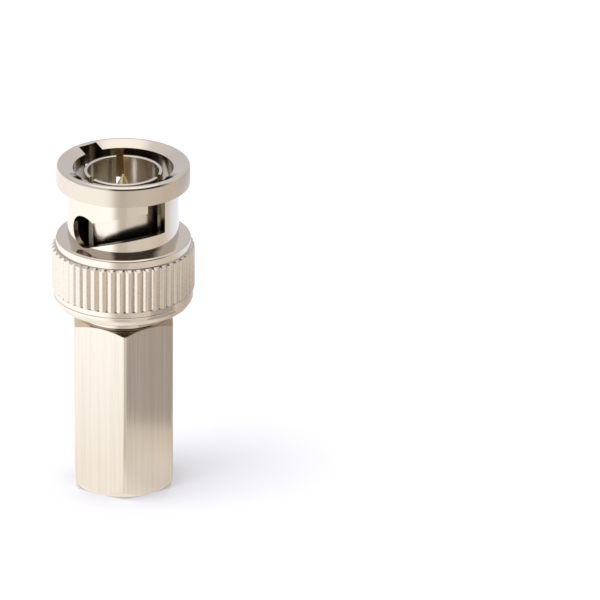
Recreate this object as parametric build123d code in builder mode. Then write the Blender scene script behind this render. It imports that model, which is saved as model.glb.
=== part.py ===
"""Twist-on bayonet plug for coaxial cable, standing on its hexagonal cable end.

The axis is Z and the muzzle points up. The origin is the centre of the cable end's face. One corner of
the hexagon points along -Y. All sizes are in millimetres.
"""
from build123d import *
from math import cos, pi, radians, sin, tan
import os

# Hexagonal body
hex_across_flats = 10.0
hex_length = 18.65
hex_front_circle = 9.8
hex_front_slope = 30.0
hex_rear_circle = 9.9
hex_rear_slope = 45.0

# Neck that the nut turns on, and the stem in front of it that carries the washers
neck_dia = 9.4
neck_length = 2.1
stem_dia = 8.2
shank_bore_dia = 6.9
shank_length = 3.3

# Bore for the cable: a countersunk mouth, the threaded length at its root diameter, and the plain length
mouth_dia = 9.1
mouth_depth = 0.6
thread_root_dia = 8.3
thread_depth = 9.55
cable_bore_dia = 6.6

# Coupling nut, outside, from its rear face to the muzzle
nut_gap = 1.1
rear_face_dia = 12.6
rear_bevel_length = 0.8
band_dia = 14.2
band_length = 0.94
knurl_dia = 14.5
knurl_length = 4.55
knurl_count = 48
knurl_groove_depth = 0.24
knurl_groove_width = 0.5
knurl_end_chamfer = 0.25
lip_dia = 13.7
lip_length = 0.67
lip_chamfer = 0.12
shoulder_rise = 0.45
shoulder_fillet = 0.8
barrel_dia = 11.3
barrel_length = 5.87
root_ring_dia = 12.0
root_ring_length = 0.2
flange_dia = 13.5
flange_length = 2.17
flange_chamfer = 0.2

# Coupling nut, inside
muzzle_dia = 12.6
muzzle_depth = 0.5
nut_bore_dia = 10.1
rib_thickness = 0.9

# Bayonet slots: an entry groove, a ramp that winds round the barrel, and a round seat for the lug
slot_count = 2
groove_dia = 12.1
entry_angle = 305.5
entry_width = 2.15
entry_depth = 6.05
ramp_width = 2.62
ramp_drop = 1.7
ramp_sweep = 82.0
ramp_start = 5.0
ramp_sections = 11
seat_hole_dia = 3.4
seat_depth = 5.93

# Washers and springs
slip_washer_thickness = 0.25
wave_washer_thickness = 0.2
wave_washer_height = 0.55
wave_count = 3
wave_points = 12

# Outer contact
contact_dia = 8.0
contact_wall = 0.42
contact_length = 10.25
contact_flange_length = 0.7
contact_root_dia = 8.4
contact_chamfer = 0.1
finger_count = 3
finger_slot_width = 0.75
finger_slot_depth = 7.5
finger_slot_angle = 94.0
rear_insulator_dia = 5.2

# Gasket
gasket_thickness = 0.6

# Insulators
insulator_front = 4.65
insulator_chamfer = 0.3
rear_insulator_inset = 0.3
funnel_dia = 3.6
funnel_depth = 1.0

# Centre pin
pin_dia = 1.35
pin_body_dia = 1.7
pin_collar_dia = 2.2
pin_collar_length = 0.7
pin_tail_dia = 1.7
pin_tail_length = 4.0
pin_length = 5.1
pin_point_length = 1.15
pin_point_dia = 0.16
wire_bore_dia = 0.9
wire_bore_depth = 3.4
tine_slot_width = 0.25
tine_slot_depth = 2.2

# Clearances
neck_clearance = 0.05
stem_clearance = 0.05
washer_clearance = 0.1
stop_clearance = 0.01
spring_clearance = 0.02
pin_clearance = 0.01
cut_margin = 0.5

# Heights that follow from the sizes above
nut_rear = hex_length + nut_gap
knurl_start = nut_rear + rear_bevel_length + band_length
knurl_end = knurl_start + knurl_length
lip_start = knurl_end + knurl_end_chamfer
lip_end = lip_start + lip_length
shoulder_end = lip_end + shoulder_rise
barrel_end = lip_end + barrel_length
muzzle = barrel_end + flange_length
neck_end = hex_length + neck_length
rib_rear = neck_end + stop_clearance
rib_front = rib_rear + rib_thickness
rear_slip_top = rib_front + slip_washer_thickness
rear_wave_top = rear_slip_top + wave_washer_height
front_wave_top = rear_wave_top + wave_washer_height
stem_end = front_wave_top + slip_washer_thickness
flange_front = stem_end + contact_flange_length
gasket_top = flange_front + gasket_thickness
contact_tip = flange_front + contact_length
insulator_face = flange_front + insulator_front
pin_tip = insulator_face + pin_length

# Radii that fit one another
neck_bore_dia = neck_dia + 2 * neck_clearance
rib_bore_dia = stem_dia + 2 * stem_clearance
washer_inner_dia = stem_dia + 2 * washer_clearance
washer_outer_dia = nut_bore_dia - 2 * washer_clearance
contact_inner_dia = contact_dia - 2 * contact_wall

os.makedirs("parts", exist_ok=True)


def finish(builder, name):
    """Name a finished piece and write it."""
    builder.part.label = name
    export_step(builder.part, f"parts/{name}.step")


# Hexagonal body: bar stock with turned ends, the neck and the stem
hex_corner_radius = hex_across_flats / 2 / cos(pi / 6)
turning_radius = hex_corner_radius + cut_margin
front_drop = (turning_radius - hex_front_circle / 2) * tan(radians(hex_front_slope))
rear_rise = (turning_radius - hex_rear_circle / 2) * tan(radians(hex_rear_slope))
shank_bottom = stem_end - shank_length

with BuildPart() as hex_body:
    with BuildSketch(Plane.XY):
        RegularPolygon(hex_across_flats / 2, 6, major_radius=False, rotation=30)
    extrude(amount=hex_length)
    with BuildSketch(Plane.XZ):
        with BuildLine():
            Polyline(
                (0, 0),
                (hex_rear_circle / 2, 0),
                (turning_radius, rear_rise),
                (turning_radius, hex_length - front_drop),
                (hex_front_circle / 2, hex_length),
                (0, hex_length),
                close=True,
            )
        make_face()
    revolve(axis=Axis.Z, mode=Mode.INTERSECT)
    with BuildSketch(Plane.XY.offset(hex_length)):
        Circle(neck_dia / 2)
    extrude(amount=neck_length)
    with BuildSketch(Plane.XY.offset(neck_end)):
        Circle(stem_dia / 2)
    extrude(amount=stem_end - neck_end)
    with BuildSketch(Plane.XZ):
        with BuildLine():
            Polyline(
                (0, 0),
                (mouth_dia / 2, 0),
                (thread_root_dia / 2, mouth_depth),
                (thread_root_dia / 2, thread_depth),
                (cable_bore_dia / 2, thread_depth + (thread_root_dia - cable_bore_dia) / 2),
                (cable_bore_dia / 2, shank_bottom),
                (shank_bore_dia / 2, shank_bottom),
                (shank_bore_dia / 2, stem_end),
                (0, stem_end),
                close=True,
            )
        make_face()
    revolve(axis=Axis.Z, mode=Mode.SUBTRACT)

finish(hex_body, "hex_body")

# Coupling nut: the turned form, then the knurl, then the bayonet slots
with BuildPart() as coupling_nut:
    with BuildSketch(Plane.XZ) as nut_section:
        with BuildLine():
            Polyline(
                (neck_bore_dia / 2, nut_rear),
                (rear_face_dia / 2, nut_rear),
                (band_dia / 2, nut_rear + rear_bevel_length),
                (band_dia / 2, knurl_start),
                (knurl_dia / 2, knurl_start),
                (knurl_dia / 2, knurl_end),
                (knurl_dia / 2 - knurl_end_chamfer, lip_start),
                (lip_dia / 2, lip_start),
                (lip_dia / 2, lip_end),
                (barrel_dia / 2, shoulder_end),
                (barrel_dia / 2, barrel_end - root_ring_length),
                (root_ring_dia / 2, barrel_end - root_ring_length),
                (root_ring_dia / 2, barrel_end),
                (flange_dia / 2, barrel_end),
                (flange_dia / 2, muzzle),
                (muzzle_dia / 2, muzzle),
                (nut_bore_dia / 2, muzzle - muzzle_depth),
                (nut_bore_dia / 2, rib_front),
                (rib_bore_dia / 2, rib_front),
                (rib_bore_dia / 2, rib_rear),
                (neck_bore_dia / 2, rib_rear),
                close=True,
            )
        make_face()
        corners = nut_section.vertices()
        chamfer(corners.sort_by_distance((lip_dia / 2, lip_end))[0], lip_chamfer)
        corners = nut_section.vertices()
        fillet(corners.sort_by_distance((barrel_dia / 2, shoulder_end))[0], shoulder_fillet)
        corners = nut_section.vertices()
        chamfer(corners.sort_by_distance((flange_dia / 2, muzzle))[0], flange_chamfer)
    revolve(axis=Axis.Z)

    # Straight knurl: grooves with a V section, open at both ends
    groove_floor_radius = knurl_dia / 2 - knurl_groove_depth
    groove_cut_radius = knurl_dia / 2 + cut_margin
    groove_half_width = knurl_groove_width / 2 / knurl_groove_depth * (knurl_groove_depth + cut_margin)
    with BuildSketch(Plane.XY.offset(knurl_start)):
        with PolarLocations(0, knurl_count):
            Polygon(
                (groove_floor_radius, 0),
                (groove_cut_radius, -groove_half_width),
                (groove_cut_radius, groove_half_width),
                align=None,
            )
    extrude(amount=lip_start - knurl_start, mode=Mode.SUBTRACT)

# One bayonet slot's cutter, with its seat at angle 0. The ramp's slope eases off towards the entry.
cutter_radius = nut_bore_dia / 2 - cut_margin
cutter_reach = barrel_dia / 2 + cut_margin - cutter_radius
ramp_top_depth = entry_depth - ramp_width / 2


def face_at(angle, depth, normal_angle):
    """Plane on the cutter's inner radius, with its x direction pointing out of the nut."""
    outward = Vector(cos(radians(angle)), sin(radians(angle)), 0)
    normal = Vector(cos(radians(normal_angle)), sin(radians(normal_angle)), 0)
    return Plane(outward * cutter_radius + Vector(0, 0, muzzle - depth), x_dir=outward, z_dir=normal)


with BuildPart() as slot_cutter:
    for section in range(ramp_sections + 1):
        angle = ramp_start + (ramp_sweep - ramp_start) * section / ramp_sections
        depth = ramp_top_depth + ramp_drop * (1 - angle / ramp_sweep) ** 2
        with BuildSketch(face_at(angle, depth, angle + 90)):
            Rectangle(cutter_reach, ramp_width, align=(Align.MIN, Align.CENTER))
    loft()
    with BuildSketch(face_at(ramp_sweep, entry_depth, ramp_sweep + 90)):
        Rectangle(
            groove_dia / 2 - cutter_radius, entry_depth + cut_margin, align=(Align.MIN, Align.MAX)
        )
    extrude(amount=entry_width / 2, both=True)
    with BuildSketch(Plane.YZ.offset(cutter_radius)):
        with Locations((0, muzzle - seat_depth)):
            Circle(seat_hole_dia / 2)
    extrude(amount=cutter_reach)

with coupling_nut:
    with PolarLocations(0, slot_count, start_angle=entry_angle - ramp_sweep):
        add(slot_cutter.part, mode=Mode.SUBTRACT)

finish(coupling_nut, "coupling_nut")

# Outer contact: a spring sleeve with a flange in front of the stem and a shank pressed into it. Its section
# is drawn at the first slot, so the seam of the sleeve runs into that slot and the fingers have none.
first_slot = Vector(cos(radians(finger_slot_angle)), sin(radians(finger_slot_angle)), 0)
section_plane = Plane((0, 0, 0), x_dir=first_slot, z_dir=first_slot.cross(Vector(0, 0, 1)))

with BuildPart() as outer_contact:
    with BuildSketch(section_plane) as contact_section:
        with BuildLine():
            Polyline(
                (rear_insulator_dia / 2, shank_bottom),
                (shank_bore_dia / 2, shank_bottom),
                (shank_bore_dia / 2, stem_end),
                (washer_outer_dia / 2, stem_end),
                (washer_outer_dia / 2, flange_front),
                (contact_root_dia / 2, flange_front),
                (contact_root_dia / 2, gasket_top),
                (contact_dia / 2, gasket_top),
                (contact_dia / 2, contact_tip),
                (contact_inner_dia / 2, contact_tip),
                (contact_inner_dia / 2, flange_front),
                (rear_insulator_dia / 2, flange_front),
                close=True,
            )
        make_face()
        rim = contact_section.vertices().group_by(Axis.Y)[-1]
        chamfer(rim, contact_chamfer)
    revolve(axis=Axis.Z)
    with BuildSketch(Plane.XY.offset(contact_tip - finger_slot_depth)):
        with PolarLocations(0, finger_count, start_angle=finger_slot_angle):
            Rectangle(
                contact_dia / 2 + cut_margin, finger_slot_width, align=(Align.MIN, Align.CENTER)
            )
    extrude(amount=finger_slot_depth, mode=Mode.SUBTRACT)

finish(outer_contact, "outer_contact")

# Gasket on the contact's flange
with BuildPart() as gasket:
    with BuildSketch(Plane.XY.offset(flange_front)):
        Circle(washer_outer_dia / 2)
        Circle(contact_root_dia / 2, mode=Mode.SUBTRACT)
    extrude(amount=gasket_thickness)

finish(gasket, "gasket")

# Flat washers on both sides of the springs
for washer_name, washer_base in (("rear_slip_washer", rib_front), ("front_slip_washer", front_wave_top)):
    with BuildPart() as slip_washer:
        with BuildSketch(Plane.XY.offset(washer_base)):
            Circle(washer_outer_dia / 2)
            Circle(washer_inner_dia / 2, mode=Mode.SUBTRACT)
        extrude(amount=slip_washer_thickness)
    finish(slip_washer, washer_name)

# Wave washers, each turned half a wave from the other so that crest meets crest
wave_swing = (wave_washer_height - wave_washer_thickness - spring_clearance) / 2
wave_angles = [2 * pi * step / wave_points for step in range(wave_points)]
for washer_name, washer_base, turn in (
    ("rear_wave_washer", rear_slip_top, 0),
    ("front_wave_washer", rear_wave_top, pi / wave_count),
):
    wave_bottom = washer_base + spring_clearance / 2
    edges = []
    for wave_radius in (washer_inner_dia / 2 - cut_margin, washer_outer_dia / 2 + cut_margin):
        with BuildLine() as wave_line:
            Spline(
                *[
                    (
                        wave_radius * cos(angle),
                        wave_radius * sin(angle),
                        wave_bottom + wave_swing * (1 + cos(wave_count * (angle + turn))),
                    )
                    for angle in wave_angles
                ],
                periodic=True,
            )
        edges.append(wave_line.edge())
    with BuildPart() as wave_washer:
        extrude(Face.make_surface_from_curves(*edges), amount=wave_washer_thickness, dir=(0, 0, 1))
        with BuildSketch(Plane.XY.offset(washer_base)):
            Circle(washer_outer_dia / 2)
            Circle(washer_inner_dia / 2, mode=Mode.SUBTRACT)
        extrude(amount=wave_washer_height, mode=Mode.INTERSECT)
    finish(wave_washer, washer_name)

# Insulator that carries the pin in the outer contact
collar_top = flange_front + pin_collar_length
with BuildPart() as front_insulator:
    with BuildSketch(Plane.XZ) as insulator_section:
        with BuildLine():
            Polyline(
                (pin_collar_dia / 2 + pin_clearance, flange_front),
                (contact_inner_dia / 2, flange_front),
                (contact_inner_dia / 2, insulator_face),
                (pin_body_dia / 2, insulator_face),
                (pin_body_dia / 2, collar_top),
                (pin_collar_dia / 2 + pin_clearance, collar_top),
                close=True,
            )
        make_face()
        rim = insulator_section.vertices().sort_by_distance((contact_inner_dia / 2, insulator_face))[0]
        chamfer(rim, insulator_chamfer)
    revolve(axis=Axis.Z)

finish(front_insulator, "front_insulator")

# Insulator behind the pin's collar, with a funnel for the cable's wire
insulator_bottom = shank_bottom + rear_insulator_inset
tail_bottom = flange_front - pin_tail_length
with BuildPart() as rear_insulator:
    with BuildSketch(Plane.XZ):
        with BuildLine():
            Polyline(
                (funnel_dia / 2, insulator_bottom),
                (rear_insulator_dia / 2, insulator_bottom),
                (rear_insulator_dia / 2, flange_front),
                (pin_tail_dia / 2 + pin_clearance, flange_front),
                (pin_tail_dia / 2 + pin_clearance, insulator_bottom + funnel_depth),
                close=True,
            )
        make_face()
    revolve(axis=Axis.Z)

finish(rear_insulator, "rear_insulator")

# Centre pin: pointed in front, with a trapped collar and a slit socket for the wire behind it
with BuildPart() as centre_pin:
    with BuildSketch(Plane.XZ):
        with BuildLine():
            Polyline(
                (wire_bore_dia / 2, tail_bottom),
                (pin_tail_dia / 2, tail_bottom),
                (pin_tail_dia / 2, flange_front),
                (pin_collar_dia / 2, flange_front),
                (pin_collar_dia / 2, collar_top),
                (pin_body_dia / 2, collar_top),
                (pin_body_dia / 2, insulator_face),
                (pin_dia / 2, insulator_face),
                (pin_dia / 2, pin_tip - pin_point_length),
                (pin_point_dia / 2, pin_tip),
                (0, pin_tip),
                (0, tail_bottom + wire_bore_depth),
                (wire_bore_dia / 2, tail_bottom + wire_bore_depth),
                close=True,
            )
        make_face()
    revolve(axis=Axis.Z)
    with BuildSketch(Plane.XY.offset(tail_bottom)):
        Rectangle(pin_tail_dia + cut_margin, tine_slot_width)
        Rectangle(tine_slot_width, pin_tail_dia + cut_margin)
    extrude(amount=tine_slot_depth, mode=Mode.SUBTRACT)

finish(centre_pin, "centre_pin")
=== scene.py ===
"""Twist-on bayonet plug for coaxial cable, dressed in its real finishes.

The turned and milled pieces are modelled in millimetres and scaled to metres when they are finished.
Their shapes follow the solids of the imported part: the axis is Z and the muzzle points up.
"""

from math import cos, pi, radians, sin

import bmesh
import bpy
from bpy.props import FloatProperty, FloatVectorProperty, IntProperty, PointerProperty
from mathutils import Matrix, Vector


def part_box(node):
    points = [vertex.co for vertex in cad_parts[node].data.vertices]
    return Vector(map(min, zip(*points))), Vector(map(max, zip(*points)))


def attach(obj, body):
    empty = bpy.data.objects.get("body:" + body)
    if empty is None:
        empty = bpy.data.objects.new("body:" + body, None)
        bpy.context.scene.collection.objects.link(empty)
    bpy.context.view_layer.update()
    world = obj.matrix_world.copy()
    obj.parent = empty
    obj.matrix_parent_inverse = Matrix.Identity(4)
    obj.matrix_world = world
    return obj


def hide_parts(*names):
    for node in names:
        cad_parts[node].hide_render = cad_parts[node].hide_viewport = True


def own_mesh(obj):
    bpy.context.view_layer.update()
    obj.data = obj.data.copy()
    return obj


bl_info = {
    "name": "Bayonet plug",
    "version": (1, 0, 0),
    "blender": (4, 5, 0),
    "location": "3D View > Sidebar > Plug",
    "description": "Models the pieces of a twist-on bayonet plug and gives them their finishes",
    "category": "Add Mesh",
}

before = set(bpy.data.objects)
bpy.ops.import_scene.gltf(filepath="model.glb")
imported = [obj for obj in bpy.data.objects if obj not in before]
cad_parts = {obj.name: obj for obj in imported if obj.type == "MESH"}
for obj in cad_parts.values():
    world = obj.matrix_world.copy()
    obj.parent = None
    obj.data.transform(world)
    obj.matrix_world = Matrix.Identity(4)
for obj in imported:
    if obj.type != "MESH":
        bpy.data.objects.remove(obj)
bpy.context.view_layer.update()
MM = 0.001
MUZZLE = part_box("coupling_nut")[1].z / MM
NUT_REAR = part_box("coupling_nut")[0].z / MM
MIRROR_LEVEL = 1.8  # brightest part of the room that polished metal mirrors, where white is 1


def linear(code):
    """An sRGB hex colour as linear red, green and blue."""
    channels = [int(code[i : i + 2], 16) / 255 for i in (0, 2, 4)]
    return tuple(c / 12.92 if c <= 0.04045 else ((c + 0.055) / 1.055) ** 2.4 for c in channels)


class PlugSizes(bpy.types.PropertyGroup):
    """Sizes of the plug's details."""

    turn_steps: IntProperty(
        name="Turned steps",
        description="Flat strips round a turned piece, a multiple of 8 for each knurl groove",
        default=384,
        min=48,
    )
    knurl_count: IntProperty(
        name="Knurl grooves", description="Grooves round the coupling nut", default=48, min=12
    )
    knurl_depth: FloatProperty(
        name="Knurl depth",
        description="Depth of a knurl groove",
        default=0.24 * MM,
        unit="LENGTH",
        precision=6,
    )
    edge_break: FloatProperty(
        name="Edge break",
        description="Rounding that the plating leaves on a milled edge",
        default=0.05 * MM,
        unit="LENGTH",
        precision=6,
    )
    thread_pitch: FloatProperty(
        name="Thread pitch",
        description="Rise of the cable thread in one turn",
        default=1.5 * MM,
        unit="LENGTH",
        precision=6,
    )
    thread_crest: FloatProperty(
        name="Thread crest",
        description="Diameter over the crests of the cable thread",
        default=7.4 * MM,
        unit="LENGTH",
        precision=6,
    )


class PlugLook(bpy.types.PropertyGroup):
    """Colours of the plug's finishes."""

    nickel: FloatVectorProperty(
        name="Nickel",
        description="Colour of the nickel plating",
        subtype="COLOR",
        size=3,
        min=0.0,
        max=1.0,
        default=linear("D6CCBE"),
    )
    # Nickel darkened as painted shade for the bore and the slot walls
    thin_nickel: FloatVectorProperty(
        name="Nickel with painted shade",
        description="Colour of the plating darkened as painted shade, in the bore and the slots",
        subtype="COLOR",
        size=3,
        min=0.0,
        max=1.0,
        default=linear("9A8E80"),
    )
    satin_nickel: FloatVectorProperty(
        name="Satin nickel",
        description="Colour of the plating on the muzzle's satin flange",
        subtype="COLOR",
        size=3,
        min=0.0,
        max=1.0,
        default=linear("CCC2B3"),
    )
    gold: FloatVectorProperty(
        name="Gold",
        description="Colour of the gold plating",
        subtype="COLOR",
        size=3,
        min=0.0,
        max=1.0,
        default=linear("FCD95C"),
    )
    insulator: FloatVectorProperty(
        name="Insulator",
        description="Colour of the fluoropolymer insulators",
        subtype="COLOR",
        size=3,
        min=0.0,
        max=1.0,
        default=linear("E9E7E1"),
    )
    gasket: FloatVectorProperty(
        name="Gasket",
        description="Colour of the rubber gasket",
        subtype="COLOR",
        size=3,
        min=0.0,
        max=1.0,
        default=linear("1D1C1B"),
    )
    bronze: FloatVectorProperty(
        name="Bronze",
        description="Colour of the slip washers",
        subtype="COLOR",
        size=3,
        min=0.0,
        max=1.0,
        default=linear("B58A5A"),
    )
    steel: FloatVectorProperty(
        name="Spring steel",
        description="Colour of the wave washers",
        subtype="COLOR",
        size=3,
        min=0.0,
        max=1.0,
        default=linear("9A9894"),
    )


# Shapes ------------------------------------------------------------------------------------------


def turned(outline, steps, closed=True):
    """A turned shape from (radius, height) points; an open outline starts and ends on the axis."""
    bm = bmesh.new()
    points = [bm.verts.new((radius, 0, height)) for radius, height in outline]
    pairs = list(zip(points, points[1:]))
    if closed:
        pairs.append((points[-1], points[0]))
    edges = [bm.edges.new(pair) for pair in pairs]
    bmesh.ops.spin(
        bm, geom=points + edges, cent=(0, 0, 0), axis=(0, 0, 1), angle=2 * pi, steps=steps, use_merge=True
    )
    bmesh.ops.remove_doubles(bm, verts=bm.verts, dist=1e-5)
    bmesh.ops.recalc_face_normals(bm, faces=bm.faces)
    return bm


def round_rim(bm, radius, height, offset, segments=3):
    """Round the circular edge at this radius and height."""
    rim = [
        edge
        for edge in bm.edges
        if all(
            abs(v.co.xy.length - radius) < 1e-3 and abs(v.co.z - height) < 1e-3 for v in edge.verts
        )
    ]
    if not rim:
        raise ValueError(f"no rim at radius {radius} and height {height}")
    bmesh.ops.bevel(
        bm, geom=rim, offset=offset, segments=segments, profile=0.5, affect="EDGES", material=-1
    )


def bar(width, depth, height, matrix):
    """A rectangular cutter, centred before the matrix places it."""
    bm = bmesh.new()
    bmesh.ops.create_cube(bm, size=1.0)
    bmesh.ops.scale(bm, vec=(width, depth, height), verts=bm.verts)
    bmesh.ops.transform(bm, matrix=matrix, verts=bm.verts)
    return bm


def at_angle(degrees):
    """Turn about the plug's axis."""
    return Matrix.Rotation(radians(degrees), 4, "Z")


def joined(shapes):
    """Several shapes that don't touch, in one mesh."""
    whole = bmesh.new()
    for shape in shapes:
        part = bpy.data.meshes.new("part")
        shape.to_mesh(part)
        whole.from_mesh(part)
        shape.free()
        bpy.data.meshes.remove(part)
    return whole


def carved(bm, cutters, operation="DIFFERENCE"):
    """The shape cut by, or kept within, each cutter in turn."""
    made = []
    for shape in [bm] + cutters:
        mesh = bpy.data.meshes.new("carving")
        shape.to_mesh(mesh)
        shape.free()
        thing = bpy.data.objects.new("carving", mesh)
        bpy.context.scene.collection.objects.link(thing)
        made.append(thing)
    for cutter in made[1:]:
        cut = made[0].modifiers.new("cut", "BOOLEAN")
        cut.object = cutter
        cut.operation = operation
        cut.solver = "EXACT"
    result = bmesh.new()
    result.from_object(made[0], bpy.context.evaluated_depsgraph_get())
    for thing in made:
        mesh = thing.data
        bpy.data.objects.remove(thing)
        bpy.data.meshes.remove(mesh)
    bmesh.ops.remove_doubles(result, verts=result.verts, dist=1e-4)
    bmesh.ops.dissolve_degenerate(result, edges=result.edges, dist=1e-4)
    if not result.faces:
        raise ValueError("nothing is left of the carved shape")
    return result


def break_edges(bm, width, wanted, segments=2):
    """Round the sharp edges that the test picks."""
    bm.normal_update()
    sharp = [
        edge
        for edge in bm.edges
        if edge.is_manifold and edge.calc_face_angle() > radians(35) and wanted(edge)
    ]
    if sharp:
        bmesh.ops.bevel(
            bm,
            geom=sharp,
            offset=width,
            segments=segments,
            profile=0.5,
            affect="EDGES",
            material=-1,
            clamp_overlap=True,
        )


def even_normals(mesh):
    """Shade smoothly across small angles, with each normal weighed by face area, so that the large faces
    mirror straight and only the small rounded ones between them turn."""
    mesh.shade_smooth()
    bm = bmesh.new()
    bm.from_mesh(mesh)
    spread = cos(radians(40))
    areas = [face.calc_area() for face in bm.faces]
    normals = []
    for face in bm.faces:
        for loop in face.loops:
            total = face.normal * 1e-12
            for other in loop.vert.link_faces:
                if other.normal.dot(face.normal) > spread:
                    total += other.normal * areas[other.index]
            normals.append(total.normalized())
    bm.free()
    mesh.normals_split_custom_set(normals)


def finish_piece(bm, name, body, materials, replaces=()):
    """Turn a shape in millimetres into a finished piece of the plug."""
    bmesh.ops.scale(bm, vec=(MM, MM, MM), verts=bm.verts)
    mesh = bpy.data.meshes.new(name)
    bm.to_mesh(mesh)
    bm.free()
    even_normals(mesh)
    for material in materials:
        mesh.materials.append(material)
    piece = bpy.data.objects.new(name, mesh)
    bpy.context.scene.collection.objects.link(piece)
    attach(piece, body)
    if replaces:
        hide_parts(*replaces)
    return piece


# Finishes ----------------------------------------------------------------------------------------


def add_node(tree, kind, inputs=None, links=None, **settings):
    """Add a node, set its values and link sockets into it."""
    node = tree.nodes.new(kind)
    for key, value in settings.items():
        setattr(node, key, value)
    for key, value in (inputs or {}).items():
        node.inputs[key].default_value = value
    for key, socket in (links or {}).items():
        tree.links.new(socket, node.inputs[key])
    return node


def ramp(tree, socket, low, high, stops):
    """Colours along a value that runs from low to high; each stop is a value and its colour."""
    share = add_node(
        tree, "ShaderNodeMapRange", inputs={"From Min": low, "From Max": high}, links={"Value": socket}
    )
    node = add_node(tree, "ShaderNodeValToRGB", links={"Fac": share.outputs["Result"]})
    node.color_ramp.interpolation = "EASE"
    elements = node.color_ramp.elements
    elements[0].position = (stops[0][0] - low) / (high - low)
    elements[1].position = (stops[-1][0] - low) / (high - low)
    for value, _ in stops[1:-1]:
        elements.new((value - low) / (high - low))
    for element, (_, colour) in zip(elements, stops):
        element.color = (*colour, 1)
    return node.outputs["Color"]


def direction(tree, socket):
    """Degrees from the plug's front towards its right, seen from the photograph's side."""
    parts = add_node(tree, "ShaderNodeSeparateXYZ", links={"Vector": socket})
    ahead = add_node(
        tree, "ShaderNodeMath", inputs={1: -1.0}, links={0: parts.outputs["Y"]}, operation="MULTIPLY"
    )
    angle = add_node(
        tree,
        "ShaderNodeMath",
        links={0: parts.outputs["X"], 1: ahead.outputs["Value"]},
        operation="ARCTAN2",
    )
    return add_node(
        tree, "ShaderNodeMath", links={0: angle.outputs["Value"]}, operation="DEGREES"
    ).outputs["Value"]


def blended(tree, value, start, full, first, second):
    """The first colour, which turns into the second one where the value passes from start to full."""
    share = add_node(
        tree,
        "ShaderNodeMapRange",
        inputs={"From Min": start, "From Max": full, "To Min": 0.0, "To Max": 1.0},
        links={"Value": value},
        interpolation_type="SMOOTHSTEP",
    )
    return add_node(
        tree,
        "ShaderNodeMix",
        links={"Factor": share.outputs["Result"], "A": first, "B": second},
        data_type="RGBA",
    ).outputs["Result"]


def painted_dark_side(tree, place, value, start, full):
    """Painted dark reflection in front and at the right, for the dark side of the room that polished metal
    mirrors, where the value passes from start to full."""
    dark = ramp(
        tree,
        direction(tree, place),
        -180,
        180,
        [
            (-180, (1, 1, 1)),
            (-32, (1, 1, 1)),
            (-16, (0.1, 0.09, 0.08)),
            (62, (0.1, 0.09, 0.08)),
            (92, (1, 1, 1)),
            (180, (1, 1, 1)),
        ],
    )
    share = add_node(
        tree,
        "ShaderNodeMapRange",
        inputs={"From Min": start, "From Max": full, "To Min": 0.0, "To Max": 1.0},
        links={"Value": value},
        interpolation_type="SMOOTHSTEP",
    )
    return add_node(
        tree,
        "ShaderNodeMix",
        inputs={"A": (1, 1, 1, 1)},
        links={"Factor": share.outputs["Result"], "B": dark},
        data_type="RGBA",
    ).outputs["Result"]


def product(tree, first, second):
    """One colour times another."""
    return add_node(
        tree,
        "ShaderNodeMix",
        inputs={"Factor": 1.0},
        links={"A": first, "B": second},
        data_type="RGBA",
        blend_type="MULTIPLY",
    ).outputs["Result"]


def blank_material(name):
    """A material with nothing but its output."""
    material = bpy.data.materials.new(name)
    material.use_nodes = True
    material.node_tree.nodes.clear()
    return material


def lathe_space(tree):
    """Coordinates of distance from the axis and height, so that a pattern runs round the piece."""
    place = add_node(tree, "ShaderNodeTexCoord")
    parts = add_node(tree, "ShaderNodeSeparateXYZ", links={"Vector": place.outputs["Object"]})
    flat = add_node(
        tree, "ShaderNodeCombineXYZ", links={"X": parts.outputs["X"], "Y": parts.outputs["Y"]}
    )
    reach = add_node(
        tree, "ShaderNodeVectorMath", links={0: flat.outputs["Vector"]}, operation="LENGTH"
    )
    return add_node(
        tree, "ShaderNodeCombineXYZ", links={"X": reach.outputs["Value"], "Z": parts.outputs["Z"]}
    ).outputs["Vector"]


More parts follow.
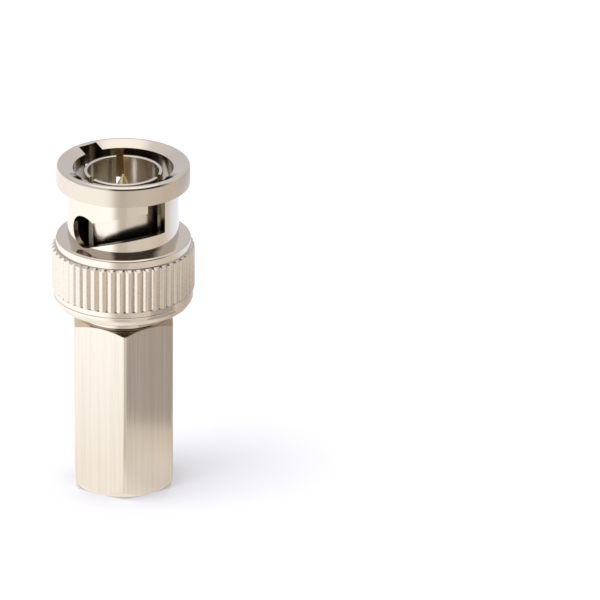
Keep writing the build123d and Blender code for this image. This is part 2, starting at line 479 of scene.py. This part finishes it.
def metal(name, colour, grain_mm, stretch=(1, 1, 1), lathe=False, rough=(0.1, 0.2), bump=0.1, tone=0.0):
    """A plated or rolled metal whose grain changes its roughness, its level and a little of its colour."""
    material = blank_material(name)
    tree = material.node_tree
    if lathe:
        space = lathe_space(tree)
    else:
        space = add_node(tree, "ShaderNodeTexCoord").outputs["Object"]
    scaled = add_node(
        tree,
        "ShaderNodeMapping",
        inputs={"Scale": [1 / (grain_mm * MM) * s for s in stretch]},
        links={"Vector": space},
    )
    grain = add_node(
        tree,
        "ShaderNodeTexNoise",
        inputs={"Scale": 1.0, "Detail": 3.0, "Roughness": 0.6},
        links={"Vector": scaled.outputs["Vector"]},
    )
    smear = add_node(
        tree,
        "ShaderNodeTexNoise",
        inputs={"Scale": 1 / (2.5 * MM), "Detail": 2.0},
        links={"Vector": add_node(tree, "ShaderNodeTexCoord").outputs["Object"]},
    )
    blend = add_node(
        tree,
        "ShaderNodeMix",
        inputs={"Factor": 0.3},
        links={"A": grain.outputs["Fac"], "B": smear.outputs["Fac"]},
    )
    roughness = add_node(
        tree,
        "ShaderNodeMapRange",
        inputs={"From Min": 0.3, "From Max": 0.7, "To Min": rough[0], "To Max": rough[1]},
        links={"Value": blend.outputs["Result"]},
    )
    level = add_node(
        tree,
        "ShaderNodeBump",
        inputs={"Strength": bump, "Distance": 0.05 * MM},
        links={"Height": grain.outputs["Fac"]},
    )
    shader = add_node(
        tree,
        "ShaderNodeBsdfPrincipled",
        inputs={"Base Color": (*colour, 1), "Metallic": 1.0},
        links={"Roughness": roughness.outputs["Result"], "Normal": level.outputs["Normal"]},
    )
    if tone:
        dark = tuple(c * (1 - tone) for c in colour)
        shade = add_node(
            tree,
            "ShaderNodeMix",
            inputs={"A": (*dark, 1), "B": (*colour, 1)},
            data_type="RGBA",
        )
        spread = add_node(
            tree,
            "ShaderNodeMapRange",
            inputs={"From Min": 0.35, "From Max": 0.6, "To Min": 0.0, "To Max": 1.0},
            links={"Value": grain.outputs["Fac"]},
        )
        tree.links.new(spread.outputs["Result"], shade.inputs["Factor"])
        tree.links.new(shade.outputs["Result"], shader.inputs["Base Color"])
    add_node(tree, "ShaderNodeOutputMaterial", links={"Surface": shader.outputs["BSDF"]})
    return material


def finishes():
    """Every finish of the plug, made once and looked up by name."""
    look = bpy.context.scene.plug_look
    made = {}

    def keep(material):
        made[material.name] = material

    if "turned_nickel" in bpy.data.materials:
        return bpy.data.materials
    # Bright nickel over turned brass: the tool's fine rings run round the axis and blur the mirror a little
    keep(metal("turned_nickel", look.nickel, 0.09, (1, 1, 1), True, (0.05, 0.13), 0.016))
    # The same plating over a face that was turned with a blunter tool, which leaves it satin
    keep(metal("satin_nickel", look.satin_nickel, 0.12, (1, 1, 0.25), False, (0.2, 0.3), 0.03, 0.02))
    # Plating in the bore, the slots and the rear face: its darker grey is painted shade in these recesses, and
    # its duller roughness is for the thin plating that the current hardly reached
    keep(metal("thin_nickel", look.thin_nickel, 0.09, (1, 1, 1), True, (0.1, 0.2), 0.024, 0.08))
    # Plating over a rolled knurl, whose pressed metal is rough as fine sandpaper and sparkles in specks
    keep(metal("knurled_nickel", look.nickel, 0.16, (1, 1, 0.7), False, (0.14, 0.3), 0.1, 0.08))
    # Plating over drawn hexagonal bar, with the drawing die's long scratches along it
    keep(metal("drawn_nickel", look.nickel, 0.3, (1, 1, 0.012), False, (0.1, 0.22), 0.9, 0.08))
    # Plating on the springy contact, tumbled with the small parts, which leaves an even grey satin
    keep(metal("tumbled_nickel", look.nickel, 0.08, (1, 1, 1), False, (0.12, 0.22), 0.1, 0.05))
    # Hard gold over nickel on the pin, nearly a mirror
    keep(metal("gold_plate", look.gold, 0.06, (1, 1, 1), True, (0.1, 0.2), 0.02))
    # Phosphor bronze strip, stamped into washers, with its rolling lines
    keep(metal("rolled_bronze", look.bronze, 0.12, (1, 0.06, 1), False, (0.25, 0.4), 0.04, 0.08))
    # Blued spring strip, rolled and stamped
    keep(metal("rolled_spring_steel", look.steel, 0.12, (0.06, 1, 1), False, (0.22, 0.36), 0.04, 0.08))
    keep(moulded("turned_fluoropolymer", look.insulator, 0.25, (0.34, 0.46), 0.04, ior=1.38))
    keep(moulded("moulded_rubber", look.gasket, 0.12, (0.6, 0.8), 0.2, ior=1.52))
    return made


def moulded(name, colour, grain_mm, rough, bump, ior):
    """A plastic or rubber with a fine surface grain."""
    material = blank_material(name)
    tree = material.node_tree
    grain = add_node(
        tree,
        "ShaderNodeTexNoise",
        inputs={"Scale": 1 / (grain_mm * MM), "Detail": 3.0},
        links={"Vector": add_node(tree, "ShaderNodeTexCoord").outputs["Object"]},
    )
    roughness = add_node(
        tree,
        "ShaderNodeMapRange",
        inputs={"From Min": 0.3, "From Max": 0.7, "To Min": rough[0], "To Max": rough[1]},
        links={"Value": grain.outputs["Fac"]},
    )
    level = add_node(
        tree,
        "ShaderNodeBump",
        inputs={"Strength": bump, "Distance": 0.02 * MM},
        links={"Height": grain.outputs["Fac"]},
    )
    shader = add_node(
        tree,
        "ShaderNodeBsdfPrincipled",
        inputs={"Base Color": (*colour, 1), "IOR": ior},
        links={"Roughness": roughness.outputs["Result"], "Normal": level.outputs["Normal"]},
    )
    add_node(tree, "ShaderNodeOutputMaterial", links={"Surface": shader.outputs["BSDF"]})
    return material


# Pieces ------------------------------------------------------------------------------------------


class PLUG_OT_coupling_nut(bpy.types.Operator):
    """Model the coupling nut with its knurl and its two bayonet slots"""

    bl_idname = "plug.coupling_nut"
    bl_label = "Coupling nut"

    def execute(self, context):
        sizes = context.scene.plug_sizes
        knurl_low, knurl_high, lip_low = NUT_REAR + 1.74, NUT_REAR + 6.2, NUT_REAR + 6.42
        lip_high, flange_low = NUT_REAR + 7.21, MUZZLE - 2.17
        outline = [
            (4.75, NUT_REAR),
            (6.3, NUT_REAR),
            (6.76, NUT_REAR + 0.2),
            (7.1, NUT_REAR + 0.8),
            (7.1, NUT_REAR + 1.12),
            (7.05, NUT_REAR + 1.17),
            (7.1, NUT_REAR + 1.22),
            (7.1, knurl_low),
            (7.18, knurl_low + 0.02),
            (7.23, knurl_low + 0.08),
            (7.25, knurl_low + 0.18),
            (7.25, knurl_high),
            (7.0, lip_low),
            (6.85, lip_low),
            (6.85, lip_high),
            (6.7, lip_high + 0.15),
            (5.65, lip_high + 0.26),
            (5.65, flange_low - 0.2),
            (6.0, flange_low - 0.2),
            (6.0, flange_low),
            (6.75, flange_low),
            (6.75, MUZZLE),
            (6.3, MUZZLE),
            (5.05, MUZZLE - 0.5),
            (5.05, NUT_REAR + 1.91),
            (4.15, NUT_REAR + 1.91),
            (4.15, NUT_REAR + 1.01),
            (4.75, NUT_REAR + 1.01),
        ]
        bm = turned(outline, sizes.turn_steps)
        for radius, height, offset, segments in (
            (6.7, lip_high + 0.15, 0.06, 3),
            (6.85, lip_high, 0.06, 3),
            (6.85, lip_low, 0.04, 2),
            (6.75, MUZZLE, 0.36, 7),
            (6.3, MUZZLE, 0.05, 2),
            (5.05, MUZZLE - 0.5, 0.06, 2),
            (6.75, flange_low, 0.06, 2),
            (6.76, NUT_REAR + 0.2, 0.12, 3),
            (7.1, NUT_REAR + 0.8, 0.08, 3),
            (4.75, NUT_REAR, 0.1, 2),
        ):
            round_rim(bm, radius, height, offset, segments)

        # Knurl: rounded teeth that fall off on both sides to the sharp floor of a groove
        depth = sizes.knurl_depth / MM
        per_groove = sizes.turn_steps // sizes.knurl_count
        for vert in bm.verts:
            height, radius = vert.co.z, vert.co.xy.length
            if radius > 7.15 and knurl_low - 0.01 < height < knurl_high + 0.01:
                step = round(Vector((1, 0)).angle_signed(vert.co.xy, 0.0) / (2 * pi) * sizes.turn_steps)
                step = abs((step + per_groove // 2) % per_groove - per_groove // 2)
                sunk = depth * (1 - 2 * step / per_groove) ** 2
                vert.co.xy = vert.co.xy * (1 - sunk / radius)
        for face in bm.faces:
            middle = face.calc_center_median()
            radius = middle.xy.length
            if knurl_low < middle.z < lip_low and radius > 6.98:
                face.material_index = 1
            elif middle.z > flange_low + 0.05 and radius > 6.7 and abs(face.normal.z) < 0.3:
                face.material_index = 2
            # The bore takes the nickel darkened as painted shade
            elif radius < 5.06:
                face.material_index = 3

        bm = carved(bm, self.slot_cutters())
        low, high = MUZZLE - 8.6, MUZZLE + 1.0
        break_edges(
            bm,
            sizes.edge_break / MM,
            lambda edge: all(low < v.co.z < high and v.co.xy.length > 5.0 for v in edge.verts)
            and self.near_slot(edge),
        )
        look = finishes()
        finish_piece(
            bm,
            "coupling_nut_plated",
            "nut",
            [
                look["turned_nickel"],
                look["knurled_nickel"],
                look["satin_nickel"],
                look["thin_nickel"],
            ],
            ["coupling_nut"],
        )
        return {"FINISHED"}

    @staticmethod
    def near_slot(edge):
        """Whether the edge belongs to a slot and isn't one of the turned rims."""
        a, b = (v.co for v in edge.verts)
        same_height = abs(a.z - b.z) < 1e-4
        same_radius = abs(a.xy.length - b.xy.length) < 1e-4
        turned_heights = (MUZZLE - 0.5, MUZZLE, MUZZLE - 2.17, MUZZLE - 2.37)
        return not (same_height and same_radius and any(abs(a.z - h) < 0.3 for h in turned_heights))

    @staticmethod
    def slot_cutters():
        """Cutters of both slots: the ramps, the entry grooves and the round seats."""
        entry_angle, sweep, start, width, drop = 305.5, 82.0, 5.0, 2.62, 1.7
        entry_depth, inner, reach, steps = 6.05, 4.55, 1.6, 64
        ramps, entries, seats = [], [], []
        for turn in (0, 180):
            first = entry_angle - sweep + turn

            def depth_at(angle):
                return entry_depth - width / 2 + drop * (1 - angle / sweep) ** 2

            bm = bar(reach, 0.001, width, Matrix.Translation((inner + reach / 2, 0, 0)))
            leading = [f for f in bm.faces if f.normal.y > 0.5]
            bmesh.ops.transform(
                bm,
                matrix=at_angle(first + start) @ Matrix.Translation((0, 0, MUZZLE - depth_at(start))),
                verts=bm.verts,
            )
            turn_step = (sweep - start) / steps
            for number in range(steps):
                angle = start + number * turn_step
                grown = bmesh.ops.extrude_face_region(bm, geom=leading)["geom"]
                bmesh.ops.delete(bm, geom=leading, context="FACES_ONLY")
                leading = [g for g in grown if isinstance(g, bmesh.types.BMFace)]
                rise = depth_at(angle) - depth_at(angle + turn_step)
                bmesh.ops.transform(
                    bm,
                    matrix=Matrix.Translation((0, 0, rise)) @ at_angle(turn_step),
                    verts=[g for g in grown if isinstance(g, bmesh.types.BMVert)],
                )
            bmesh.ops.recalc_face_normals(bm, faces=bm.faces)
            ramps.append(bm)
            entries.append(
                bar(
                    6.05 - inner,
                    2.15,
                    entry_depth + 0.5,
                    at_angle(entry_angle + turn)
                    @ Matrix.Translation(((6.05 + inner) / 2, 0, MUZZLE + 0.25 - entry_depth / 2)),
                )
            )
            seat = bmesh.new()
            bmesh.ops.create_cone(
                seat,
                cap_ends=True,
                segments=96,
                radius1=1.7,
                radius2=1.7,
                depth=reach,
                matrix=at_angle(first)
                @ Matrix.Translation((inner + reach / 2, 0, MUZZLE - 5.93))
                @ Matrix.Rotation(pi / 2, 4, "Y"),
            )
            seats.append(seat)
        cutters = [joined(ramps), joined(entries), joined(seats)]
        # The slot walls take the nickel darkened as painted shade
        for cutter in cutters:
            for face in cutter.faces:
                face.material_index = 3
        return cutters


class PLUG_OT_hex_body(bpy.types.Operator):
    """Model the hexagonal body with its neck, its stem and the thread for the cable"""

    bl_idname = "plug.hex_body"
    bl_label = "Hexagonal body"

    def execute(self, context):
        sizes = context.scene.plug_sizes
        outline = [
            (4.55, 0),
            (4.95, 0),
            (6.2735, 1.3235),
            (6.2735, 17.857),
            (4.9, 18.65),
            (4.7, 18.65),
            (4.7, 20.75),
            (4.1, 20.75),
            (4.1, 23.26),
            (3.45, 23.26),
            (3.45, 19.96),
            (3.3, 19.96),
            (3.3, 10.4),
            (4.15, 9.55),
            (4.15, 0.6),
        ]
        bm = turned(outline, 192)
        round_rim(bm, 4.95, 0, 0.05, 2)
        round_rim(bm, 4.55, 0, 0.04, 2)
        round_rim(bm, 4.9, 18.65, 0.05, 2)
        round_rim(bm, 4.15, 0.6, 0.08, 2)
        prism = bmesh.new()
        bmesh.ops.create_circle(prism, cap_ends=True, segments=6, radius=5 / cos(pi / 6))
        bmesh.ops.translate(prism, vec=(0, 0, -1), verts=prism.verts)
        grown = bmesh.ops.extrude_face_region(prism, geom=prism.faces[:])["geom"]
        bmesh.ops.translate(
            prism, vec=(0, 0, 26), verts=[g for g in grown if isinstance(g, bmesh.types.BMVert)]
        )
        bmesh.ops.recalc_face_normals(prism, faces=prism.faces)
        corners = [e for e in prism.edges if abs(e.verts[0].co.z - e.verts[1].co.z) > 1]
        bmesh.ops.bevel(
            prism, geom=corners, offset=0.29, segments=5, profile=0.5, affect="EDGES", material=-1
        )
        for face in prism.faces:
            face.material_index = 1
        bm = carved(bm, [prism], "INTERSECT")
        break_edges(
            bm,
            sizes.edge_break / MM,
            lambda edge: all(
                v.co.xy.length > 4.96 and (0.02 < v.co.z < 1.4 or 17.7 < v.co.z < 18.63)
                for v in edge.verts
            ),
        )
        look = finishes()
        finish_piece(
            bm,
            "hex_body_plated",
            "body",
            [look["turned_nickel"], look["drawn_nickel"]],
            ["hex_body"],
        )
        self.thread(sizes, look)
        return {"FINISHED"}

    @staticmethod
    def thread(sizes, look):
        """The ridge of the cable thread, which fades in at the mouth and out at its inner end."""
        pitch, crest = sizes.thread_pitch / MM, sizes.thread_crest / MM / 2
        steps, root = 64, 4.22
        bm = bmesh.new()
        section = [
            (root, -0.72),
            (root - 0.22, -0.5),
            (crest + 0.08, -0.24),
            (crest, -0.1),
            (crest, 0.1),
            (crest + 0.08, 0.24),
            (root - 0.22, 0.5),
            (root, 0.72),
        ]
        sunk = root - crest
        leading = [bm.faces.new([bm.verts.new((r + sunk, 0, z + 1.45)) for r, z in section])]
        turns = 4.9
        total = round(turns * steps)
        fade = steps // 3
        for number in range(total):
            grown = bmesh.ops.extrude_face_region(bm, geom=leading)["geom"]
            if number:
                bmesh.ops.delete(bm, geom=leading, context="FACES_ONLY")
            leading = [g for g in grown if isinstance(g, bmesh.types.BMFace)]
            angle = 360 / steps * number
            shift = 0.0
            if number < fade:
                shift = -sunk / fade
            elif number >= total - fade:
                shift = sunk / fade
            outward = Vector((cos(radians(angle)), sin(radians(angle)), 0))
            bmesh.ops.transform(
                bm,
                matrix=Matrix.Translation((0, 0, pitch / steps))
                @ at_angle(360 / steps)
                @ Matrix.Translation(outward * shift),
                verts=[g for g in grown if isinstance(g, bmesh.types.BMVert)],
            )
        bmesh.ops.recalc_face_normals(bm, faces=bm.faces)
        finish_piece(bm, "cable_thread", "body", [look["turned_nickel"]])


class PLUG_OT_contacts(bpy.types.Operator):
    """Model the slotted outer contact and the pointed centre pin"""

    bl_idname = "plug.contacts"
    bl_label = "Contacts"

    def execute(self, context):
        sizes = context.scene.plug_sizes
        look = finishes()
        outline = [
            (2.6, 19.96),
            (3.45, 19.96),
            (3.45, 23.26),
            (4.95, 23.26),
            (4.95, 23.96),
            (4.2, 23.96),
            (4.2, 24.56),
            (4.0, 24.56),
            (4.0, 34.21),
            (3.58, 34.21),
            (3.58, 23.96),
            (2.6, 23.96),
        ]
        bm = turned(outline, 256)
        round_rim(bm, 4.0, 34.21, 0.16, 4)
        round_rim(bm, 3.58, 34.21, 0.14, 4)
        slots = [
            bar(
                2.0,
                0.75,
                8.5,
                at_angle(94 + 120 * number) @ Matrix.Translation((4.0, 0, 26.71 + 4.25)),
            )
            for number in range(3)
        ]
        bm = carved(bm, [joined(slots)])
        break_edges(
            bm,
            sizes.edge_break / MM,
            lambda edge: all(v.co.z > 26.0 and v.co.xy.length > 3.5 for v in edge.verts)
            and abs(edge.verts[0].co.z - edge.verts[1].co.z) > 1.0,
        )
        finish_piece(
            bm, "outer_contact_plated", "body", [look["tumbled_nickel"]], ["outer_contact"]
        )

        outline = [
            (0, 33.71),
            (0.08, 33.71),
            (0.675, 32.56),
            (0.675, 28.61),
            (0.85, 28.61),
            (0.85, 24.66),
            (1.1, 24.66),
            (1.1, 23.96),
            (0.85, 23.96),
            (0.85, 19.96),
            (0.45, 19.96),
            (0.45, 23.36),
            (0, 23.36),
        ]
        bm = turned(outline, 96, closed=False)
        round_rim(bm, 0.675, 32.56, 0.12, 3)
        round_rim(bm, 0.08, 33.71, 0.04, 3)
        tines = [
            bar(3.0, 0.25, 4.4, at_angle(turn) @ Matrix.Translation((0, 0, 19.96))) for turn in (0, 90)
        ]
        bm = carved(bm, tines)
        finish_piece(bm, "centre_pin_plated", "body", [look["gold_plate"]], ["centre_pin"])
        return {"FINISHED"}


class PLUG_OT_inner_pieces(bpy.types.Operator):
    """Finish the insulators, the gasket, the slip washers and the two wave washers"""

    bl_idname = "plug.inner_pieces"
    bl_label = "Inner pieces"

    def execute(self, context):
        look = finishes()
        outline = [
            (1.11, 23.96),
            (3.58, 23.96),
            (3.58, 28.31),
            (3.28, 28.61),
            (0.85, 28.61),
            (0.85, 24.66),
            (1.11, 24.66),
        ]
        bm = turned(outline, 128)
        round_rim(bm, 3.28, 28.61, 0.08, 2)
        finish_piece(
            bm,
            "front_insulator_turned",
            "body",
            [look["turned_fluoropolymer"]],
            ["front_insulator"],
        )
        for name, first in (("rear_wave_washer", 0.0), ("front_wave_washer", pi)):
            low, high = (corner.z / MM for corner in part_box(name))
            swing = (high - low - 0.2) / 2
            bm = turned([(4.2, 0), (4.95, 0), (4.95, 0.2), (4.2, 0.2)], 144)
            for vert in bm.verts:
                turn = 3 * Vector((1, 0)).angle_signed(vert.co.xy, 0.0)
                vert.co.z += low + swing * (1 + cos(turn + first))
            washer = finish_piece(
                bm, name + "_rolled", "body", [look["rolled_spring_steel"]], [name]
            )
            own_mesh(washer)
        for name, finish in (
            ("rear_insulator", "turned_fluoropolymer"),
            ("gasket", "moulded_rubber"),
            ("rear_slip_washer", "rolled_bronze"),
            ("front_slip_washer", "rolled_bronze"),
        ):
            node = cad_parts[name]
            for spot in node.material_slots:
                spot.material = look[finish]
        return {"FINISHED"}


class PLUG_OT_stage(bpy.types.Operator):
    """Set up the floor, the light and the camera"""

    bl_idname = "plug.stage"
    bl_label = "Stage"

    def execute(self, context):
        scene = context.scene
        scene.view_settings.view_transform = "Standard"
        self.floor()
        self.world(scene)
        self.lamps()
        self.camera(scene)
        return {"FINISHED"}

    @staticmethod
    def floor():
        """A white sheet to the camera; to polished metal it glows with a painted reflection, bright at the left
        and greyer at the front and right.
        """
        bm = bmesh.new()
        bmesh.ops.create_circle(bm, cap_ends=True, segments=96, radius=0.8)
        mesh = bpy.data.meshes.new("floor")
        bm.to_mesh(mesh)
        bm.free()
        sheet = bpy.data.objects.new("floor", mesh)
        bpy.context.scene.collection.objects.link(sheet)
        material = blank_material("white_sheet")
        mesh.materials.append(material)
        tree = material.node_tree
        place = add_node(tree, "ShaderNodeTexCoord").outputs["Object"]
        seen = add_node(tree, "ShaderNodeBsdfDiffuse", inputs={"Color": (*linear("F5F5F8"), 1)})
        reach = add_node(tree, "ShaderNodeVectorMath", links={0: place}, operation="LENGTH").outputs["Value"]
        way = direction(tree, place)
        # Painted reflection by direction: bright at the left, grey in front, darker at the right and back, in
        # rings round the plug
        front = [
            (-180, (0.68, 0.68, 0.7)),
            (-95, (0.86, 0.88, 0.92)),
            (-28, (0.89, 0.91, 0.95)),
            (-8, (0.5, 0.485, 0.47)),
            (45, (0.53, 0.5, 0.47)),
            (80, (0.49, 0.44, 0.4)),
        ]
        inner = ramp(tree, way, -180, 180, front + [(120, (0.36, 0.33, 0.31)), (180, (0.42, 0.42, 0.43))])
        outer = ramp(tree, way, -180, 180, front + [(125, (0.6, 0.65, 0.76)), (180, (0.6, 0.64, 0.72))])
        round_plug = blended(tree, reach, 0.061, 0.066, inner, outer)
        round_plug = blended(tree, reach, 0.078, 0.082, round_plug, inner)
        # Painted reflection close round the plug's foot
        foot = ramp(
            tree,
            way,
            -180,
            180,
            [
                (-180, (0.68, 0.68, 0.7)),
                (-28, (0.87, 0.87, 0.88)),
                (0, (0.74, 0.73, 0.72)),
                (60, (0.6, 0.58, 0.56)),
                (110, (0.4, 0.38, 0.36)),
                (180, (0.5, 0.5, 0.5)),
            ],
        )
        round_plug = blended(tree, reach, 0.0085, 0.019, foot, round_plug)
        away = add_node(
            tree,
            "ShaderNodeVectorMath",
            inputs={1: (0.0374, -0.0191, 0)},
            links={0: place},
            operation="DISTANCE",
        )
        # Painted dark reflection at the plug's right front, seen only in the metal
        painted_dark_patch = ramp(
            tree,
            away.outputs["Value"],
            0,
            0.04,
            [(0.0, (0.6, 0.61, 0.63)), (0.0195, (0.6, 0.61, 0.63)), (0.0235, (1, 1, 1))],
        )
        side = add_node(tree, "ShaderNodeSeparateXYZ", links={"Vector": place}).outputs["X"]
        # Painted greyer band of reflection just in front of the plug
        near = ramp(
            tree,
            side,
            -0.05,
            0.03,
            [
                (-0.042, (1, 1, 1)),
                (-0.008, (0.87, 0.86, 0.84)),
                (0.005, (0.87, 0.87, 0.87)),
                (0.012, (1, 1, 1)),
            ],
        )
        # Painted dark reflection far out in front and at the right
        far = painted_dark_side(tree, place, reach, 0.16, 0.3)
        # Glossy rays see the painted reflection as light; the camera sees the white sheet
        mirrored = add_node(
            tree,
            "ShaderNodeEmission",
            inputs={"Strength": MIRROR_LEVEL},
            links={"Color": product(tree, product(tree, round_plug, painted_dark_patch), product(tree, near, far))},
        )
        path = add_node(tree, "ShaderNodeLightPath")
        mix = add_node(
            tree,
            "ShaderNodeMixShader",
            links={
                "Fac": path.outputs["Is Glossy Ray"],
                1: seen.outputs["BSDF"],
                2: mirrored.outputs["Emission"],
            },
        )
        add_node(tree, "ShaderNodeOutputMaterial", links={"Surface": mix.outputs["Shader"]})

    @staticmethod
    def world(scene):
        """White to the camera, a bright ceiling over grey walls to polished metal, and soft light to the rest."""
        world = bpy.data.worlds.new("white_room")
        scene.world = world
        world.use_nodes = True
        tree = world.node_tree
        tree.nodes.clear()
        way = add_node(tree, "ShaderNodeTexCoord").outputs["Generated"]
        height = add_node(tree, "ShaderNodeSeparateXYZ", links={"Vector": way}).outputs["Z"]
        ceiling = ramp(
            tree,
            height,
            0,
            1,
            [
                (0.0, (0.4, 0.4, 0.44)),
                (0.5, (0.43, 0.43, 0.46)),
                (0.82, (0.5, 0.5, 0.52)),
                (0.9, (0.78, 0.78, 0.79)),
                (1.0, (0.82, 0.82, 0.82)),
            ],
        )
        room = add_node(
            tree,
            "ShaderNodeBackground",
            inputs={"Strength": MIRROR_LEVEL},
            links={"Color": product(tree, ceiling, painted_dark_side(tree, way, height, 0.75, 0.62))},
        )
        soft = add_node(tree, "ShaderNodeBackground", inputs={"Color": (0.98, 0.98, 1, 1), "Strength": 0.92})
        white = add_node(tree, "ShaderNodeBackground", inputs={"Color": (1, 1, 1, 1), "Strength": 1.0})
        path = add_node(tree, "ShaderNodeLightPath")
        unseen = add_node(
            tree,
            "ShaderNodeMixShader",
            links={
                "Fac": path.outputs["Is Glossy Ray"],
                1: soft.outputs["Background"],
                2: room.outputs["Background"],
            },
        )
        mix = add_node(
            tree,
            "ShaderNodeMixShader",
            links={
                "Fac": path.outputs["Is Camera Ray"],
                1: unseen.outputs["Shader"],
                2: white.outputs["Background"],
            },
        )
        add_node(tree, "ShaderNodeOutputWorld", links={"Surface": mix.outputs["Shader"]})

    @staticmethod
    def lamps():
        """Two large soft boxes, the stronger one at the upper left; metal mirrors the room instead of them."""
        for name, place, size, power in (
            ("left_softbox", (-0.24, -0.07, 0.42), 0.34, 0.85),
            ("top_softbox", (0.05, 0.1, 0.6), 0.45, 0.35),
        ):
            data = bpy.data.lights.new(name, "AREA")
            data.shape = "SQUARE"
            data.size = size
            data.energy = power
            lamp = bpy.data.objects.new(name, data)
            bpy.context.scene.collection.objects.link(lamp)
            lamp.visible_glossy = False
            lamp.location = place
            lamp.rotation_euler = (Vector((0, 0, 0.02)) - Vector(place)).to_track_quat("-Z", "Y").to_euler()

    @staticmethod
    def camera(scene):
        """The photograph's viewpoint: a long lens, 0.6 m from the muzzle, the plug left of the middle."""
        data = bpy.data.cameras.new("camera")
        data.sensor_width = 36
        data.lens = 357.7
        data.clip_start = 0.01
        data.clip_end = 10
        camera = bpy.data.objects.new("camera", data)
        scene.collection.objects.link(camera)
        camera.matrix_world = (
            Matrix.Translation((-0.01299, -0.55409, 0.26574))
            @ Matrix.Rotation(radians(-3.2), 4, "Z")
            @ Matrix.Rotation(radians(90 - 23.915), 4, "X")
            @ Matrix.Rotation(radians(0.717), 4, "Z")
        )
        scene.camera = camera


class PLUG_PT_panel(bpy.types.Panel):
    """Sizes, colours and pieces of the plug"""

    bl_idname = "PLUG_PT_panel"
    bl_label = "Bayonet plug"
    bl_space_type = "VIEW_3D"
    bl_region_type = "UI"
    bl_category = "Plug"

    def draw(self, context):
        for group in (context.scene.plug_sizes, context.scene.plug_look):
            for key in group.__annotations__:
                self.layout.prop(group, key)
        for operator in OPERATORS:
            self.layout.operator(operator.bl_idname)


OPERATORS = (
    PLUG_OT_stage,
    PLUG_OT_coupling_nut,
    PLUG_OT_hex_body,
    PLUG_OT_contacts,
    PLUG_OT_inner_pieces,
)
CLASSES = (PlugSizes, PlugLook, *OPERATORS, PLUG_PT_panel)


def register():
    for cls in CLASSES:
        bpy.utils.register_class(cls)
    bpy.types.Scene.plug_sizes = PointerProperty(type=PlugSizes)
    bpy.types.Scene.plug_look = PointerProperty(type=PlugLook)


def unregister():
    del bpy.types.Scene.plug_look
    del bpy.types.Scene.plug_sizes
    for cls in reversed(CLASSES):
        bpy.utils.unregister_class(cls)


def main():
    register()
    bpy.ops.plug.stage()
    bpy.ops.plug.coupling_nut()
    bpy.ops.plug.hex_body()
    bpy.ops.plug.contacts()
    bpy.ops.plug.inner_pieces()


if __name__ == "__main__":
    main()
